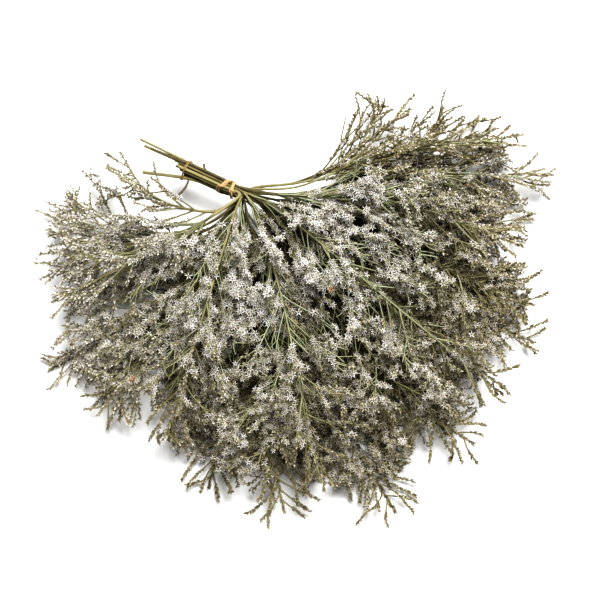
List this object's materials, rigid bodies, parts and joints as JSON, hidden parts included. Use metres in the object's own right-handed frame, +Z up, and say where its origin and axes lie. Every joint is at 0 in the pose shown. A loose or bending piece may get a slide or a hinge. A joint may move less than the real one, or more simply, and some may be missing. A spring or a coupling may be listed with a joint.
{
  "type": "dried flower bunch",
  "caption": "Bunch of dried tatarian statice lying on its side, stems tied with raffia, branching sprays of papery star florets.",
  "frame": {"origin": "middle of the bunch's bounding box at the level of the surface that it lies on", "axes": "+Z up from the surface; +X along the widest way across the fan of sprays; +Y completes the right-handed frame, with most sprays fanning out towards -Y from the tie and the cut stem ends towards -X and +Y"},
  "size_m": [0.512, 0.4382, 0.1316],
  "materials": {
    "dried_spray": "dry olive to straw coloured stems and twigs, matt, finely ribbed along their length",
    "dried_floret": "papery five pointed florets, off-white with a slight lilac grey tinge, matt",
    "raffia": "flat raffia strands, tan, fibrous along their length, faint dry sheen"
  },
  "bodies": {
    "root": {"spray_01": "dried_spray", "spray_02": "dried_spray", "spray_03": "dried_spray", "spray_04": "dried_spray", "spray_05": "dried_spray", "spray_06": "dried_spray", "spray_07": "dried_spray", "spray_08": "dried_spray", "spray_09": "dried_spray", "spray_10": "dried_spray", "spray_11": "dried_spray", "spray_12": "dried_spray", "spray_13": "dried_spray", "spray_14": "dried_spray", "spray_15": "dried_spray", "spray_16": "dried_spray", "spray_17": "dried_spray", "spray_18": "dried_spray", "spray_19": "dried_spray", "spray_20": "dried_spray", "spray_21": "dried_spray", "raffia_tie": "raffia", "raffia_wrap": "raffia"}
  },
  "joints": []
}
